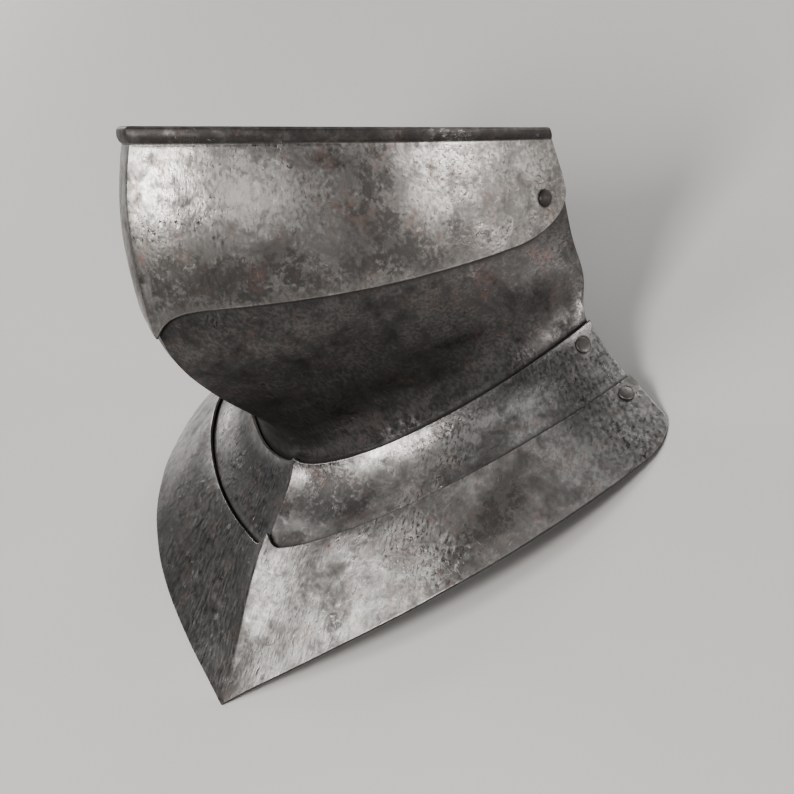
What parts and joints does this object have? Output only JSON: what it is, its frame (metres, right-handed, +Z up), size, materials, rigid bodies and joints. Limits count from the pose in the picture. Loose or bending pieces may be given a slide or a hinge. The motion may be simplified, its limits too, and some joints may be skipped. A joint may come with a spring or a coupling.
{
  "type": "steel gorget",
  "caption": "Gorget of overlapping steel lames with a rolled rim, a keel and a pointed chest lame; the lames pivot on rivets at the sides, and the collar is open at the back.",
  "frame": {"origin": "centre of the bounding box in plan, on the surface that the lower edge stands on", "axes": "+Z up as it stands on its lower edge, -Y towards the front point, +X towards the wearer's left"},
  "size_m": [0.2882, 0.2514, 0.2139],
  "materials": {
    "lame_steel": "worn bare steel, mottled with grey patina, pits, fine scratches and faint rust",
    "rivet_steel": "darkened worn steel"
  },
  "bodies": {
    "chest": {"chest_lame": "lame_steel", "chest_rivet_left": "rivet_steel", "chest_rivet_right": "rivet_steel"},
    "neck": {"neck_lame": "lame_steel", "neck_rivet_left": "rivet_steel", "neck_rivet_right": "rivet_steel"},
    "throat": {"throat_plate": "lame_steel"},
    "chin": {"chin_plate": "lame_steel", "chin_rivet_left": "rivet_steel", "chin_rivet_right": "rivet_steel"}
  },
  "joints": [
    {"name": "chest_pivot", "type": "hinge", "parent": "chest", "child": "neck", "pos_m": [0, 0.06, 0.0101], "axis": [1, 0, 0], "range_deg": [0, 6]},
    {"name": "neck_pivot", "type": "hinge", "parent": "neck", "child": "throat", "pos_m": [0, 0.0714, 0.0267], "axis": [1, 0, 0], "range_deg": [0, 6]},
    {"name": "chin_pivot", "type": "hinge", "parent": "throat", "child": "chin", "pos_m": [0, 0.1037, 0.0849], "axis": [1, 0, 0], "range_deg": [0, 9]}
  ]
}
